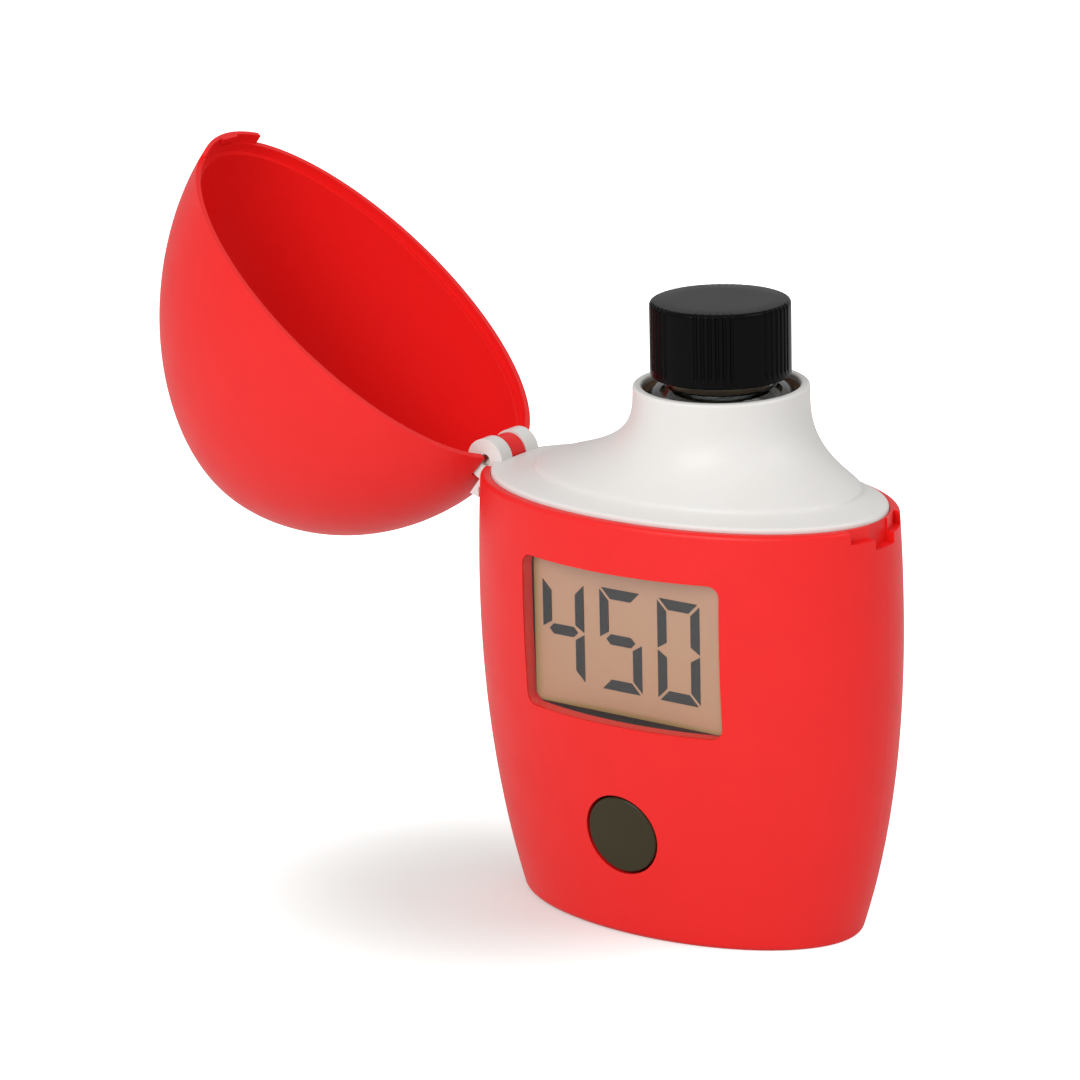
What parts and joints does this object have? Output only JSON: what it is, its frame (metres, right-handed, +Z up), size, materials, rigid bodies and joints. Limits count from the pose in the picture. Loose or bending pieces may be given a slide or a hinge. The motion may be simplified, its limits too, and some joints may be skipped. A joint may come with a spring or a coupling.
{
  "type": "portable colorimeter",
  "caption": "Palm-size colorimeter: oval case with display and button, white neck holding a capped glass vial in a light-tight well, and a hinged domed lid standing open on its stop.",
  "frame": {"origin": "centre of the case's flat foot, where it stands on the bench", "axes": "+Z up, -Y the front with the display and the button, -X the side the lid is hinged on"},
  "size_m": [0.1142, 0.0374, 0.095],
  "materials": {
    "red_case": "satin moulded",
    "red_lid": "satin moulded",
    "red_door": "satin moulded",
    "white_collar": "satin moulded",
    "gasket_rubber": "moulded",
    "pin_steel": "ground",
    "screw_steel": "zinc plated",
    "chassis_plastic": "moulded",
    "optics_plastic": "moulded, light tight",
    "well_plastic": "extruded",
    "led_epoxy": "clear cast",
    "filter_glass": "coated",
    "detector_can": "plated",
    "board_laminate": "solder mask",
    "chip_plastic": "moulded",
    "crystal_can": "drawn",
    "capacitor_ceramic": "fired",
    "switch_plastic": "moulded",
    "window_clear": "clear moulded",
    "display_glass": "polished",
    "segment_ink": "flat",
    "reflector_glass": "flat",
    "frame_plastic": "moulded",
    "strip_rubber": "striped",
    "battery_can": "printed sleeve left bare",
    "contact_nickel": "nickel plated",
    "button_plastic": "satin moulded",
    "vial_glass": "fire polished",
    "sample_liquid": "clear liquid",
    "cap_phenolic": "gloss moulded",
    "liner_foam": "foamed sheet"
  },
  "bodies": {
    "case": {"body_shell": "red_case", "battery_door": "red_door", "door_screw": "screw_steel", "case_screws": "screw_steel", "collar_gasket": "gasket_rubber", "collar": "white_collar", "hinge_pin": "pin_steel", "chassis": "chassis_plastic", "optical_block": "optics_plastic", "block_screws": "screw_steel", "collar_screws": "screw_steel", "board_screws": "screw_steel", "well_sleeve": "well_plastic", "led": "led_epoxy", "led_board": "board_laminate", "light_filter": "filter_glass", "photodetector": "detector_can", "detector_board": "board_laminate", "main_board": "board_laminate", "microcontroller": "chip_plastic", "crystal": "crystal_can", "capacitors": "capacitor_ceramic", "push_switch": "switch_plastic", "display_window": "window_clear", "display_front_glass": "display_glass", "display_segments": "segment_ink", "display_back_glass": "reflector_glass", "display_frame": "frame_plastic", "contact_strips": "strip_rubber", "battery": "battery_can", "battery_contacts": "contact_nickel"},
    "lid": {"lid": "red_lid"},
    "button": {"button": "button_plastic"},
    "vial": {"vial": "vial_glass", "sample": "sample_liquid"},
    "liner": {"cap_liner": "liner_foam"},
    "cap": {"vial_cap": "cap_phenolic"}
  },
  "joints": [
    {"name": "lid_hinge", "type": "hinge", "parent": "case", "child": "lid", "pos_m": [-0.0292, 0, 0.0568], "axis": [0, -1, 0], "range_deg": [-141.8, 0]},
    {"name": "button_press", "type": "slide", "parent": "case", "child": "button", "axis": [0, 1, 0], "range_m": [0, 0.0005], "stiffness_N_per_m": 1200},
    {"name": "vial_turn", "type": "hinge", "parent": "case", "child": "vial", "pos_m": [0.0035, 0.003, 0.05], "axis": [0, 0, 1], "continuous": true},
    {"name": "cap_rise", "type": "slide", "parent": "vial", "child": "liner", "axis": [0, 0, 1], "range_m": [0, 0.0008]},
    {"name": "cap_turn", "type": "hinge", "parent": "liner", "child": "cap", "pos_m": [0.0035, 0.003, 0.0761], "axis": [0, 0, 1], "range_deg": [0, 90]}
  ],
  "couplings": [
    {"joint": "cap_rise", "follows": "cap_turn", "m_per_rad": 0.00050532}
  ]
}
